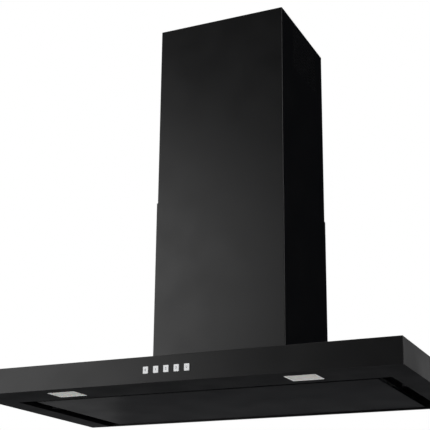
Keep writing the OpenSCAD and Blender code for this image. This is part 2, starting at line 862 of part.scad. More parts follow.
module arm_places() {
    for (a = [90, 210, 330]) rotate([a, 0, 0]) children();
}

// Three-armed bracket that carries the motor in the left inlet
module motor_bracket() {
    plate_inset = 10;
    plate_r = motor_r - plate_inset;
    color("#9a9c9f") translate([0, scroll_y, scroll_z]) difference() {
        union() {
            rod_x(motor_x0 - bracket_t, motor_x0, plate_r);
            arm_places() block([motor_x0 - bracket_t, 0, -arm_w / 2],
                [motor_x0, arm_r + bush_r, arm_w / 2]);
        }
        arm_places() translate([0, arm_r, 0])
            rod_x(motor_x0 - bracket_t - eps, motor_x0 + eps, bush_screw_r);
        rod_x(motor_x0 - bracket_t - eps, motor_x0 + eps, shaft_r + shaft_hole_gap);
    }
}

// Rubber bushes between the bracket's arms and the scroll
module motor_bushes() {
    color("#1c1c1c") translate([0, scroll_y, scroll_z]) arm_places()
        translate([0, arm_r, 0]) difference() {
            rod_x(motor_x0, -scroll_x, bush_r);
            rod_x(motor_x0 - eps, -scroll_x + eps, bush_screw_r);
        }
}

// Double-inlet fan wheel: a centre disc, a hub, two end rings and a cage of blades
module fan_wheel() {
    half = wheel_w / 2;
    blade_l = 14;
    blade_t = 0.9;
    blade_deg = 18;
    blade_in = 1;
    inner_r = wheel_r - blade_l;
    disc_x = 4;
    disc_edge = 4;
    ring_t = 2;
    ring_w = 6;
    hub_x0 = -2;
    hub_x1 = 20;
    hub_r = 12;
    press_fit = 0.01;
    color("#515357") translate([0, scroll_y, scroll_z]) difference() {
        union() {
            rod_x(disc_x, disc_x + ring_t, inner_r + disc_edge);
            rod_x(hub_x0, hub_x1, hub_r);
            for (x = [-half, half - ring_t]) difference() {
                rod_x(x, x + ring_t, wheel_r);
                rod_x(x - eps, x + ring_t + eps, wheel_r - ring_w);
            }
            for (i = [0 : blade_count - 1]) rotate([360 * i / blade_count, 0, 0])
                translate([-half + blade_in, inner_r + blade_in, 0]) rotate([blade_deg, 0, 0])
                    cube([wheel_w - 2 * blade_in, blade_l - 3 * blade_in, blade_t]);
        }
        rod_x(-half, half, shaft_r + press_fit);
    }
}

module motor_shaft() {
    color("#d4d6d9") translate([0, scroll_y, scroll_z]) rod_x(motor_x0 + shaft_start, shaft_end_x, shaft_r);
}

// Run capacitor with its strap on the housing's right wall
module capacitor() {
    r = 14;
    length = 58;
    rear_y = -152;
    mid_z = 105;
    strap_t = 1;
    strap_w = 14;
    strap_half = 6;
    strap_y = rear_y - 38;
    mid_x = housing_x - housing_t - r - strap_t;
    color("#dfe0e2") translate([mid_x, 0, mid_z]) {
        rod_y(rear_y - length, rear_y, r);
        rod_y(strap_y, strap_y + strap_w, r + strap_t);
        block([0, strap_y, -strap_half], [r + strap_t, strap_y + strap_w, strap_half]);
    }
}

module power_box() {
    wall = power_box_wall;
    color("#2c2d30") translate([power_box_x0, power_box_y0, power_box_z]) difference() {
        cube(power_box);
        translate([wall, wall, wall]) cube(power_box - [2 * wall, 2 * wall, 2 * wall]);
        for (y = lead_steps) translate([power_box[0] / 2, y, -eps])
            cylinder(h = wall + 2 * eps, r = lead_hole_r);
        translate([0, motor_lead_y, motor_lead_z])
            rod_x(power_box[0] - wall - eps, power_box[0] + eps, lead_hole_r);
        translate([power_box[0] / 2, mains_lead_y, power_box[2] - wall - eps])
            cylinder(h = wall + 2 * eps, r = mains_hole_r);
    }
}

module power_board() {
    standoff = 4;
    relay = [12, 26, 18];
    filter_coil = [10, 16, 14];
    part_z = 34;
    relay_y = 90;
    coil_y = 130;
    color("#1f5b38")
        translate([power_box_x0 + standoff, power_box_y0 + board_gap, power_box_z + board_gap]) {
            cube([pcb_t, power_box[1] - 2 * board_gap, power_box[2] - 2 * board_gap]);
            translate([pcb_t, relay_y, part_z]) cube(relay);
            translate([pcb_t, coil_y, part_z]) cube(filter_coil);
        }
}

// Mains terminal block under the cable gland
module terminal_block() {
    size = [30, 16, 18];
    offset_x = 14;
    screw_pitch = 10;
    hole_depth = 10;
    color("#ececec")
        translate([gland_x + offset_x, gland_y - size[1] / 2, housing_top_z - housing_t - size[2]])
            difference() {
                cube(size);
                for (i = [0 : 2]) translate([screw_pitch * (i + 0.5), size[1] / 2, -eps])
                    cylinder(h = hole_depth, r = screw_r);
            }
}

module cable_gland() {
    inside = 10;
    nut_h = 6;
    cap_h = 12;
    z0 = housing_top_z - housing_t - inside;
    nut_top_z = housing_top_z + nut_h;
    color("#2b2b2d") translate([gland_x, gland_y, 0]) difference() {
        union() {
            translate([0, 0, z0]) cylinder(h = inside + housing_t, r = gland_r);
            translate([0, 0, housing_top_z]) cylinder(h = nut_h, r = gland_nut_r, $fn = 6);
            translate([0, 0, nut_top_z]) cylinder(h = cap_h, r = gland_r + 1);
        }
        translate([0, 0, z0 - eps]) cylinder(h = nut_top_z + cap_h - z0 + 2 * eps, r = gland_bore_r);
    }
}

// Duct collar and non-return flaps

module duct_collar() {
    top = housing_top_z + collar_h;
    pin_hole = flap_pin_r + flap_pin_gap;
    color("#2e2f31") translate([0, collar_y, 0]) difference() {
        union() {
            translate([0, 0, housing_top_z]) cylinder(h = collar_h, r = collar_r);
            translate([0, 0, housing_top_z])
                cylinder(h = collar_flange_t, r = collar_r + collar_flange);
        }
        translate([0, 0, housing_top_z - eps])
            cylinder(h = collar_h, r = collar_in_r - outlet_edge);
        translate([0, 0, rim_z + rim_t]) cylinder(h = top, r = collar_in_r);
        translate([0, 0, flap_pin_z]) rod_y(-collar_r - eps, collar_r + eps, pin_hole);
    }
}

// Half of the non-return flap pair: a half disc with two knuckles on the shared pin
module flap(s) {
    plate_z = rim_z + rim_t + flap_gap;
    edge = flap_knuckle_r + knuckle_gap;
    segment = flap_segment - 2 * flap_segment_gap;
    first = s < 0 ? -2 * flap_segment : -flap_segment;
    color("#b7b8bb") translate([0, collar_y, 0]) difference() {
        union() {
            intersection() {
                translate([0, 0, plate_z]) cylinder(h = flap_t, r = flap_r);
                block([s < 0 ? -flap_r : edge, -flap_r, plate_z],
                    [s < 0 ? -edge : flap_r, flap_r, plate_z + flap_t]);
            }
            for (y = [first, first + 2 * flap_segment]) translate([0, y + flap_segment_gap, 0]) {
                translate([0, 0, flap_pin_z]) rod_y(0, segment, flap_knuckle_r);
                block([s < 0 ? -edge - 1 : 0, 0, plate_z],
                    [s < 0 ? 0 : edge + 1, segment, plate_z + flap_t]);
            }
        }
        translate([0, 0, flap_pin_z]) rod_y(-flap_r, flap_r, flap_pin_r + running_gap);
    }
}

module flap_pin() {
    color("#d4d6d9") translate([0, collar_y, flap_pin_z])
        rod_y(-collar_r + flap_gap, collar_r - flap_gap, flap_pin_r);
}

// Chimney

module lower_chimney() {
    color("#19191b") translate([0, 0, top_z]) linear_extrude(height = chimney_step_z - top_z)
        cover_plan(chimney_x, 0, -chimney_d, chimney_t, chimney_return);
}

module upper_chimney() {
    color("#1b1b1d") difference() {
        translate([0, 0, upper_bottom_z])
            linear_extrude(height = chimney_top_z - upper_bottom_z)
                cover_plan(upper_x, -upper_back, -upper_d, chimney_t, chimney_return);
        for (i = [0 : vent_columns - 1], k = [0 : vent_rows - 1])
            translate([0, -chimney_d + vent_front + i * vent_pitch_y,
                    chimney_top_z - vent_top - (k + 1) * vent_pitch_z])
                block([-chimney_x, 0, 0], [chimney_x, vent_l, vent_h]);
    }
}

// Wall bracket inside the top of the upper section
module upper_bracket() {
    t = upper_bracket_t;
    fold_gap = 2;
    step = 8;
    side_screw_r = 1.6;
    side_screw_inset = 12;
    fold_x = upper_in_x - chimney_return - fold_gap;
    side_x = upper_in_x - slide_gap;
    step_y = -upper_back - chimney_t - step;
    color("#8d8f92") translate([0, 0, upper_bracket_z]) difference() {
        union() {
            block([-fold_x, -t, 0], [fold_x, 0, upper_bracket_h]);
            for (s = [-1, 1]) mirror([s < 0 ? 1 : 0, 0, 0]) {
                block([fold_x - t, step_y - t, 0], [fold_x, 0, upper_bracket_h]);
                block([fold_x - t, step_y - t, 0], [side_x, step_y, upper_bracket_h]);
                block([side_x - t, -upper_bracket_arm, 0], [side_x, step_y, upper_bracket_h]);
            }
        }
        for (s = [-1, 1]) translate([s * bracket_screw_x / 2, 0, upper_bracket_h / 2])
            rod_y(-t - eps, eps, bracket_hole_r);
        translate([0, -upper_bracket_arm + side_screw_inset, upper_bracket_h / 2])
            rod_x(-side_x - eps, side_x + eps, side_screw_r);
    }
}

// L-shaped feet that screw the lower section to the canopy
module chimney_feet() {
    t = 1.5;
    foot_w = 20;
    leg_h = 22;
    front_inset = 30;
    rear_inset = 60;
    leg_x = chimney_x - chimney_t;
    foot_x = housing_x + housing_flange + 1;
    color("#8d8f92") for (s = [-1, 1], y = [-chimney_d + front_inset, -rear_inset])
        mirror([s < 0 ? 1 : 0, 0, 0]) translate([0, y, top_z]) {
            block([leg_x - t, 0, 0], [leg_x, foot_w, leg_h]);
            block([foot_x, 0, 0], [leg_x - t, foot_w, t]);
        }
}

// Steel frame between the blower's housing and the wall, with the four wall holes
module wall_frame() {
    rim = wall_frame_rim;
    color("#8d8f92") difference() {
        union() {
            block([-wall_frame_x, -wall_frame_t, wall_frame_z0], [wall_frame_x, 0, wall_frame_z1]);
            for (s = [-1, 1]) mirror([s < 0 ? 1 : 0, 0, 0])
                block([wall_frame_x - wall_frame_t, housing_y1, wall_frame_z0],
                    [wall_frame_x, 0, wall_frame_z1]);
        }
        block([-wall_frame_x + rim, -wall_frame_t - eps, wall_frame_z0 + rim],
            [wall_frame_x - rim, eps, wall_frame_z1 - rim]);
        for (sx = [-1, 1], sz = [-1, 1])
            translate([sx * wall_screw_x / 2, 0, wall_screw_mid_z + sz * wall_screw_z / 2])
                rod_y(-wall_frame_t - eps, eps, wall_hole_r);
    }
}

// Leads that stay inside

module inner_leads() {
    lead_r = 2;
    sides = 8;
    steps = 5;
    rise_z = deck_top_z + 6;
    lamp_top = lamp_h + 0.5;
    box_x = power_box_x0 + power_box[0] / 2;
    box_end_z = power_box_z - 0.5;
    box_end_x = power_box_x0 + power_box[0];
    left_y = power_box_y0 + lead_steps[0];
    right_y = power_box_y0 + lead_steps[1];
    control_y = power_box_y0 + lead_steps[2];
    left_lamp = [[-lamp_x, front_y + lamp_y, lamp_top], [-lamp_x, front_y + lamp_y + 4, rise_z - 6],
        [-lamp_x + 10, well_y0 + 14, rise_z], [-170, -270, rise_z], [box_x, -222, rise_z + 6],
        [box_x, left_y, 90], [box_x, left_y, box_end_z]];
    right_lamp = [[lamp_x, front_y + lamp_y, lamp_top], [lamp_x, front_y + lamp_y + 4, rise_z - 6],
        [lamp_x - 30, well_y0 + 14, rise_z], [60, -300, rise_z + 5], [-60, -225, rise_z + 6],
        [box_x + 8, -200, rise_z + 12], [box_x, right_y, 90], [box_x, right_y, box_end_z]];
    control = [[-30, cover_y1 + 1, button_z + 8], [-30, cover_y1 + 30, rise_z - 1],
        [-60, well_y0 + 40, rise_z - 1], [-95, -230, rise_z - 1], [box_x + 5, -190, rise_z + 5],
        [box_x, control_y, 100], [box_x, control_y, box_end_z]];
    lead_deg = 30;
    lead_reach = motor_r - 4;
    motor_end = [motor_x0 - lead_r, scroll_y + lead_reach * cos(lead_deg),
        scroll_z + lead_reach * sin(lead_deg)];
    box_end = [box_end_x + 0.3, power_box_y0 + motor_lead_y, power_box_z + motor_lead_z];
    motor_lead = [motor_end, motor_end + [-12, 0, 8], box_end + [11.7, 0, 0], box_end];
    color("#d8d8d8") for (route = [left_lamp, right_lamp, control, motor_lead])
        bar(smooth(route, steps), lead_r, sides);
}

canopy_shell();
underside_frame();
back_plate();
filter_deck();
filter_rear_rail();
filter_keepers();
filter_frame(-1);  // filter_frame_left
filter_frame(1);  // filter_frame_right
filter_mesh(-1);  // filter_mesh_left
filter_mesh(1);  // filter_mesh_right
filter_latch(-1);  // filter_latch_left
filter_latch(1);  // filter_latch_right
latch_springs();
lamp_housing(-1);  // lamp_housing_left
lamp_housing(1);  // lamp_housing_right
lamp_lens(-1);  // lamp_lens_left
lamp_lens(1);  // lamp_lens_right
led_board(-1);  // led_board_left
led_board(1);  // led_board_right
button_carrier();
button(0);  // button_off
button(1);  // button_low
button(2);  // button_mid
button(3);  // button_high
button(4);  // button_lamp
button_springs();
switch_board();
switch_cover();
suction_panel();
panel_liner();
panel_ribs();
panel_hinge_leaves();
hinge_brackets();
hinge_pins();
panel_catches();
catch_plates();
blower_housing();
housing_screws();
scroll_left();
scroll_right();
motor();
motor_bracket();
motor_bushes();
fan_wheel();
motor_shaft();
capacitor();
power_box();
power_board();
terminal_block();
cable_gland();
duct_collar();
flap(-1);  // flap_left
flap(1);  // flap_right
flap_pin();
lower_chimney();
upper_chimney();
upper_bracket();
wall_frame();
chimney_feet();
inner_leads();
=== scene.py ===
# A wall-mounted chimney range hood in satin black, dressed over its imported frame.
import bpy
import bmesh
import json
import math
from mathutils import Matrix, Vector


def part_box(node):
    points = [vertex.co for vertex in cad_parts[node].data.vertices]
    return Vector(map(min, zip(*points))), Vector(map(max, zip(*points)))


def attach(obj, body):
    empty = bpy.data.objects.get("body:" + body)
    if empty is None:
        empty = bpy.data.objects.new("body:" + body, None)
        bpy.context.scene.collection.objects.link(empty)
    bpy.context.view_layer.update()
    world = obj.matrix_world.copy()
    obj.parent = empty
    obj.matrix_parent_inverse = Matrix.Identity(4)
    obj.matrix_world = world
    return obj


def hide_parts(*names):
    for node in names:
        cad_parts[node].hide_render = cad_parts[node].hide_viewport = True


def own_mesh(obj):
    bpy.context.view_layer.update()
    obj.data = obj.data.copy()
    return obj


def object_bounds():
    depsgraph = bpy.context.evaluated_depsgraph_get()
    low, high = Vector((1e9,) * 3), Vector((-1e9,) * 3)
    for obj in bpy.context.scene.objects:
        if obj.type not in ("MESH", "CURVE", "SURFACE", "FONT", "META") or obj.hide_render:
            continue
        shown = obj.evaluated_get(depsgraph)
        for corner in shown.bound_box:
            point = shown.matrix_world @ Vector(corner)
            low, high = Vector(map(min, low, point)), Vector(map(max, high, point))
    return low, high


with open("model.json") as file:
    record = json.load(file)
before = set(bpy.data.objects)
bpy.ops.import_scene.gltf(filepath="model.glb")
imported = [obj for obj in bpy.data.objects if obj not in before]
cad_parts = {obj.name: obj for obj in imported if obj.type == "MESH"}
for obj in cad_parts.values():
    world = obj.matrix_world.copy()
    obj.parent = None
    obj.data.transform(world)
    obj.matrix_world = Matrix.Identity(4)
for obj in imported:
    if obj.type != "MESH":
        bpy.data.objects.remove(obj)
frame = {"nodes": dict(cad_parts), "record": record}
cadLow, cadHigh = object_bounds()
scene = bpy.context.scene
mm = 0.001
nodes = frame["nodes"]
sides = ("left", "right")
print("frame loaded:", len(nodes), "nodes")

record = frame["record"]
slotOfNode = {part["node"]: part["material_slot"] for part in record["subparts"]}
bodyOfNode = {node: body for body, members in record["behaviour"]["bodies"].items() for node in members}


# an sRGB hex colour as linear shares with full opacity
def toLinear(hexCode):
    shares = [int(hexCode[i:i + 2], 16) / 255 for i in (1, 3, 5)]
    return [s / 12.92 if s <= 0.04045 else ((s + 0.055) / 1.055) ** 2.4 for s in shares] + [1.0]


# adds one node; a value goes to the input of that name or number, or else to the node's own setting,
# links bring other outputs in and feeds take this node's outputs on
def addNode(tree, kind, values=None, links=None, feeds=None):
    node = tree.nodes.new(kind)
    for name, value in (values or {}).items():
        if isinstance(name, int) or name in node.inputs:
            node.inputs[name].default_value = value
        else:
            setattr(node, name, value)
    for name, source in (links or {}).items():
        tree.links.new(source, node.inputs[name])
    for name, socket in (feeds or {}).items():
        tree.links.new(node.outputs[name], socket)
    return node


# a material with its shader and the object coordinates in metres
def startMaterial(name, values):
    material = bpy.data.materials.new(name)
    material.use_nodes = True
    tree = material.node_tree
    shader = tree.nodes["Principled BSDF"]
    for socket, value in values.items():
        shader.inputs[socket].default_value = value
    place = addNode(tree, "ShaderNodeTexCoord").outputs["Object"]
    return material, tree, shader, place


# base colour that goes from a dark shade to a light one as a pattern rises from start to end
def shadeByPattern(tree, shader, pattern, dark, light, start=0.3, end=0.7):
    share = addNode(tree, "ShaderNodeMapRange", {"From Min": start, "From Max": end}, {"Value": pattern})
    addNode(tree, "ShaderNodeMixRGB", {"Color1": toLinear(dark), "Color2": toLinear(light)},
            {"Fac": share.outputs["Result"]}, {"Color": shader.inputs["Base Color"]})


# base colour that turns to a worn one within a given reach of an edge or corner, where the softened surface
# leans 8 to 37 degrees away from the true one
def wornColour(tree, shader, base, worn, reach):
    flat = addNode(tree, "ShaderNodeNewGeometry").outputs["True Normal"]
    soft = addNode(tree, "ShaderNodeBevel", {"samples": 6, "Radius": reach}).outputs["Normal"]
    turn = addNode(tree, "ShaderNodeVectorMath", {"operation": "DOT_PRODUCT"}, {0: flat, 1: soft})
    share = addNode(tree, "ShaderNodeMapRange", {"From Min": 0.99, "From Max": 0.8},
                    {"Value": turn.outputs["Value"]})
    addNode(tree, "ShaderNodeMixRGB", {"Color1": base, "Color2": worn},
            {"Fac": share.outputs["Result"]}, {"Color": shader.inputs["Base Color"]})


# roughness that wanders between two values in patches of a real size
def wanderRoughness(tree, shader, place, patch, low, high):
    noise = addNode(tree, "ShaderNodeTexNoise", {"Scale": 1 / patch, "Detail": 3}, {"Vector": place})
    addNode(tree, "ShaderNodeMapRange", {"From Min": 0.3, "From Max": 0.7, "To Min": low, "To Max": high},
            {"Value": noise.outputs["Fac"]}, {"Result": shader.inputs["Roughness"]})


# real orange peel is about 0.5 mm across and is drawn at 0.9 mm to show
powderCoat = {"colour": "#070708", "worn": "#161617", "wear": 0.8 * mm, "peel": 0.9 * mm, "relief": 0.05,
              "depth": 0.02 * mm, "patch": 70 * mm, "low": 0.30, "high": 0.36}


# polyester powder coat, sprayed and oven-cured: deep black, satin, with a faint orange peel in its highlights
def makePowderCoat(s):
    m, tree, shader, place = startMaterial("satinBlackPowderCoat", {"IOR": 1.5})
    wornColour(tree, shader, toLinear(s["colour"]), toLinear(s["worn"]), s["wear"])
    wanderRoughness(tree, shader, place, s["patch"], s["low"], s["high"])
    peel = addNode(tree, "ShaderNodeTexNoise", {"Scale": 1 / s["peel"], "Detail": 1.5}, {"Vector": place})
    addNode(tree, "ShaderNodeBump", {"Strength": s["relief"], "Distance": s["depth"]},
            {"Height": peel.outputs["Fac"]}, {"Normal": shader.inputs["Normal"]})
    return m


# the wave is the one that wet enamel leaves as it flows out
panelEnamel = {"colour": "#060707", "worn": "#151616", "wear": 0.8 * mm, "wave": 12 * mm, "relief": 0.04,
               "depth": 0.03 * mm, "patch": 90 * mm, "low": 0.22, "high": 0.27}


# stoved enamel on the suction panel: smoother and glossier than powder coat, so it mirrors more of the room
def makePanelEnamel(s):
    m, tree, shader, place = startMaterial("smoothBlackEnamel", {"IOR": 1.5})
    wornColour(tree, shader, toLinear(s["colour"]), toLinear(s["worn"]), s["wear"])
    wanderRoughness(tree, shader, place, s["patch"], s["low"], s["high"])
    flow = addNode(tree, "ShaderNodeTexNoise", {"Scale": 1 / s["wave"], "Detail": 1}, {"Vector": place})
    addNode(tree, "ShaderNodeBump", {"Strength": s["relief"], "Distance": s["depth"]},
            {"Height": flow.outputs["Fac"]}, {"Normal": shader.inputs["Normal"]})
    return m


galvanisedSheet = {"dark": "#a9acaf", "light": "#c6c9cb", "crystal": 7 * mm, "relief": 0.08, "depth": 0.03 * mm,
                   "low": 0.32, "high": 0.5}


# hot-dip galvanised sheet: flat crystals about 7 mm across, each with its own grey and shine
def makeGalvanised(s):
    m, tree, shader, place = startMaterial("galvanisedSheet", {"Metallic": 1.0})
    cells = addNode(tree, "ShaderNodeTexVoronoi", {"Scale": 1 / s["crystal"]}, {"Vector": place})
    grey = addNode(tree, "ShaderNodeSeparateColor", links={"Color": cells.outputs["Color"]}).outputs["Red"]
    shadeByPattern(tree, shader, grey, s["dark"], s["light"], 0, 1)
    addNode(tree, "ShaderNodeMapRange", {"To Min": s["low"], "To Max": s["high"]}, {"Value": grey},
            {"Result": shader.inputs["Roughness"]})
    addNode(tree, "ShaderNodeBump", {"Strength": s["relief"], "Distance": s["depth"]},
            {"Height": cells.outputs["Distance"]}, {"Normal": shader.inputs["Normal"]})
    return m


zincPlate = {"colour": "#d3d5d8", "markWidth": mm / 3, "markLength": 2.5 * mm, "relief": 0.08,
             "depth": 0.01 * mm, "patch": 4 * mm, "low": 0.18, "high": 0.30}


# bright zinc plate and drawn wire: fine turned or drawn marks under a clean shine
def makeBrightZinc(s):
    m, tree, shader, place = startMaterial("brightZincPlate", {"Metallic": 1.0})
    shader.inputs["Base Color"].default_value = toLinear(s["colour"])
    spacing = (1 / s["markWidth"], 1 / s["markWidth"], 1 / s["markLength"])
    stretched = addNode(tree, "ShaderNodeMapping", {"Scale": spacing}, {"Vector": place}).outputs["Vector"]
    marks = addNode(tree, "ShaderNodeTexNoise", {"Scale": 1, "Detail": 2}, {"Vector": stretched})
    wanderRoughness(tree, shader, place, s["patch"], s["low"], s["high"])
    addNode(tree, "ShaderNodeBump", {"Strength": s["relief"], "Distance": s["depth"]},
            {"Height": marks.outputs["Fac"]}, {"Normal": shader.inputs["Normal"]})
    return m


rolledSheet = {"dark": "#c2c4c7", "light": "#dadcde", "line": 0.3 * mm, "run": 60 * mm, "relief": 0.06,
               "depth": 0.01 * mm, "low": 0.30, "high": 0.42}


# rolled aluminium: lines about 0.3 mm apart along the rolling direction, silvery and a little dull
def makeRolledAluminium(s):
    m, tree, shader, place = startMaterial("rolledAluminium", {"Metallic": 1.0})
    spacing = (1 / s["run"], 1 / s["line"], 1 / s["line"])
    stretched = addNode(tree, "ShaderNodeMapping", {"Scale": spacing}, {"Vector": place}).outputs["Vector"]
    lines = addNode(tree, "ShaderNodeTexNoise", {"Scale": 1, "Detail": 3}, {"Vector": stretched})
    shadeByPattern(tree, shader, lines.outputs["Fac"], s["dark"], s["light"])
    wanderRoughness(tree, shader, lines.outputs["Fac"], 0.5, s["low"], s["high"])  # follows the lines
    addNode(tree, "ShaderNodeBump", {"Strength": s["relief"], "Distance": s["depth"]},
            {"Height": lines.outputs["Fac"]}, {"Normal": shader.inputs["Normal"]})
    return m


# distances that all the moulded finishes share
mouldedSkin = {"wear": 0.5 * mm, "patch": 25 * mm, "depth": 0.03 * mm}

# ABS and nylon with a spark-eroded grain, enamel with a hammer finish, moulded rubber and an extruded sheath
mouldings = {
    "black_plastic": {"name": "grainedBlackAbs", "colour": "#1c1d1f", "low": 0.42, "high": 0.55,
                      "grain": 0.5 * mm, "relief": 0.18},
    "button_plastic": {"name": "lightGreyAbs", "colour": "#d9dadb", "low": 0.30, "high": 0.38,
                       "grain": 0.4 * mm, "relief": 0.05},
    "white_plastic": {"name": "whiteNylon", "colour": "#eeefee", "low": 0.38, "high": 0.5,
                      "grain": 0.6 * mm, "relief": 0.1},
    "motor_steel": {"name": "greyHammerEnamel", "colour": "#85888b", "low": 0.35, "high": 0.45,
                    "grain": 1.5 * mm, "relief": 0.3},
    "rubber": {"name": "blackRubber", "colour": "#161616", "low": 0.6, "high": 0.75,
               "grain": 0.8 * mm, "relief": 0.2},
    "lead_sheath": {"name": "greyPvcSheath", "colour": "#b9babb", "low": 0.4, "high": 0.5,
                    "grain": 0.8 * mm, "relief": 0.1},
}


# a moulded skin: even colour, a fine grain that breaks up the highlight, and edges rubbed a little lighter
def makeMoulded(s):
    m, tree, shader, place = startMaterial(s["name"], {"IOR": 1.53})
    base = toLinear(s["colour"])
    wornColour(tree, shader, base, [min(1, 1.5 * c + 0.01) for c in base], mouldedSkin["wear"])
    wanderRoughness(tree, shader, place, mouldedSkin["patch"], s["low"], s["high"])
    skin = addNode(tree, "ShaderNodeTexNoise", {"Scale": 1 / s["grain"], "Detail": 2}, {"Vector": place})
    addNode(tree, "ShaderNodeBump", {"Strength": s["relief"], "Distance": mouldedSkin["depth"]},
            {"Height": skin.outputs["Fac"]}, {"Normal": shader.inputs["Normal"]})
    return m


opalLens = {"dark": "#b9bbb7", "light": "#c4c6c2", "cloud": 9 * mm, "bleed": 2 * mm, "patch": 15 * mm,
            "low": 0.34, "high": 0.44}


# opal polycarbonate in the unlit lamps: milky white, with light bleeding a little way into it
def makeDiffuser(s):
    m, tree, shader, place = startMaterial("opalPolycarbonate", {"IOR": 1.58, "Subsurface Weight": 0.25,
                                                                 "Subsurface Scale": s["bleed"]})
    cloud = addNode(tree, "ShaderNodeTexNoise", {"Scale": 1 / s["cloud"], "Detail": 2}, {"Vector": place})
    shadeByPattern(tree, shader, cloud.outputs["Fac"], s["dark"], s["light"])
    wanderRoughness(tree, shader, place, s["patch"], s["low"], s["high"])
    return m


solderMask = {"green": "#1f5c3a", "greenToo": "#24663f", "track": "#2f7d4f", "pitch": 9 * mm,
              "trackShare": 0.02, "relief": 0.1, "depth": 0.03 * mm, "patch": 6 * mm, "low": 0.28, "high": 0.36}


# glass-fibre board under green solder mask: copper tracks show as thin lighter lines
def makeSolderMask(s):
    m, tree, shader, place = startMaterial("greenSolderMask", {"IOR": 1.55})
    tracks = addNode(tree, "ShaderNodeTexBrick",
                     {"Scale": 1 / s["pitch"], "Mortar Size": s["trackShare"], "Color1": toLinear(s["green"]),
                      "Color2": toLinear(s["greenToo"]), "Mortar": toLinear(s["track"])},
                     {"Vector": place}, {"Color": shader.inputs["Base Color"]})
    wanderRoughness(tree, shader, place, s["patch"], s["low"], s["high"])
    addNode(tree, "ShaderNodeBump", {"Strength": s["relief"], "Distance": s["depth"]},
            {"Height": tracks.outputs["Fac"]}, {"Normal": shader.inputs["Normal"]})
    return m


printedInk = {"dark": "#26272a", "light": "#34363a", "film": 0.4 * mm, "patch": 1 * mm, "low": 0.5, "high": 0.6}


# ink pad-printed on the caps: matt dark grey with a slightly uneven film
def makeInk(s):
    m, tree, shader, place = startMaterial("padPrintedInk", {"IOR": 1.45})
    film = addNode(tree, "ShaderNodeTexNoise", {"Scale": 1 / s["film"], "Detail": 2}, {"Vector": place})
    shadeByPattern(tree, shader, film.outputs["Fac"], s["dark"], s["light"])
    wanderRoughness(tree, shader, place, s["patch"], s["low"], s["high"])
    return m


blackPlate = {"dark": "#232426", "light": "#2f3032", "cloud": 5 * mm, "low": 0.4, "high": 0.55}


# black zinc plate on the magnet catches' plates: dark metal with a sheen that dulls in patches
def makeBlackZinc(s):
    m, tree, shader, place = startMaterial("blackZincPlate", {"Metallic": 1.0})
    cloud = addNode(tree, "ShaderNodeTexNoise", {"Scale": 1 / s["cloud"], "Detail": 3}, {"Vector": place})
    shadeByPattern(tree, shader, cloud.outputs["Fac"], s["dark"], s["light"])
    wanderRoughness(tree, shader, place, s["cloud"], s["low"], s["high"])
    return m


# a near-black gauze sheet put behind the vents: painted shade standing in for the dark inside of the chimney
ventShadeGauze = {"dark": "#050505", "light": "#0f0f10", "thread": 0.8 * mm, "relief": 0.4, "depth": 0.1 * mm,
              "patch": 8 * mm, "low": 0.75, "high": 0.9}


# woven black polyester gauze: a plain weave, dull and almost without shine, near black so that it serves as
# painted shade behind the vents
def makeGauze(s):
    m, tree, shader, place = startMaterial("paintedShadeGauze", {"IOR": 1.5})
    threads = [addNode(tree, "ShaderNodeTexWave", {"Scale": 0.5 / s["thread"], "bands_direction": axis},
                       {"Vector": place}).outputs["Fac"] for axis in "YZ"]
    weave = addNode(tree, "ShaderNodeMath", {"operation": "MAXIMUM"}, dict(enumerate(threads))).outputs["Value"]
    shadeByPattern(tree, shader, weave, s["dark"], s["light"], 0.2, 0.9)
    wanderRoughness(tree, shader, place, s["patch"], s["low"], s["high"])
    addNode(tree, "ShaderNodeBump", {"Strength": s["relief"], "Distance": s["depth"]},
            {"Height": weave}, {"Normal": shader.inputs["Normal"]})
    return m


finishes = {
    "satin_black_steel": makePowderCoat(powderCoat),
    "black_panel": makePanelEnamel(panelEnamel),
    "galvanised_steel": makeGalvanised(galvanisedSheet),
    "bright_steel": makeBrightZinc(zincPlate),
    "filter_aluminium": makeRolledAluminium(rolledSheet),
    "lamp_diffuser": makeDiffuser(opalLens),
    "circuit_board": makeSolderMask(solderMask),
}
finishes.update({slot: makeMoulded(settings) for slot, settings in mouldings.items()})
ink = makeInk(printedInk)
# the gauze behind the vents is painted shade
ventShade = makeGauze(ventShadeGauze)
# the panel catches get the dark grained black plastic finish so that they stay dark: painted shade, as they sit
# in shadow in the well
nodeFinishes = {"catch_plates": makeBlackZinc(blackPlate), "panel_catches": finishes["black_plastic"]}
print("materials made:", len(finishes) + 3)


# distances in metres and angles in degrees for every refined shape
shapeSettings = {"sameSpot": 1e-6, "flatAngle": 0.5, "bevelAngle": 30, "sharpAngle": 50,
                 "foldSegments": 4, "edgeSegments": 2}


# a CAD node's mesh, joined up and ready to be shaped
def startShape(node):
    shape = bmesh.new()
    shape.from_mesh(nodes[node].data)
    bmesh.ops.remove_doubles(shape, verts=shape.verts, dist=shapeSettings["sameSpot"])
    return shape


def endShape(shape, name):
    mesh = bpy.data.meshes.new(name)
    shape.to_mesh(mesh)
    shape.free()
    return mesh


def isFlatTo(values, level):
    return all(abs(v - level) < shapeSettings["sameSpot"] for v in values)


def bevelEdges(shape, edges, radius, segments):
    if edges:
        bmesh.ops.bevel(shape, geom=edges, offset=radius, offset_type="OFFSET", segments=segments, profile=0.5,
                        affect="EDGES", clamp_overlap=True, loop_slide=True)


# true where an edge is a fold or corner between two wide outer faces of the piece
def isOuterFold(edge, low, high, radius):
    planes = 0
    for axis in range(3):
        for level in (low[axis], high[axis]):
            planes += isFlatTo([v.co[axis] for v in edge.verts], level)
    if planes < 2:
        return False
    return all(2 * f.calc_area() / f.calc_perimeter() > 2.5 * radius for f in edge.link_faces)


def sharpEdges(shape):
    limit = math.radians(shapeSettings["bevelAngle"])
    return [e for e in shape.edges if e.is_manifold and e.calc_face_angle(0) > limit]


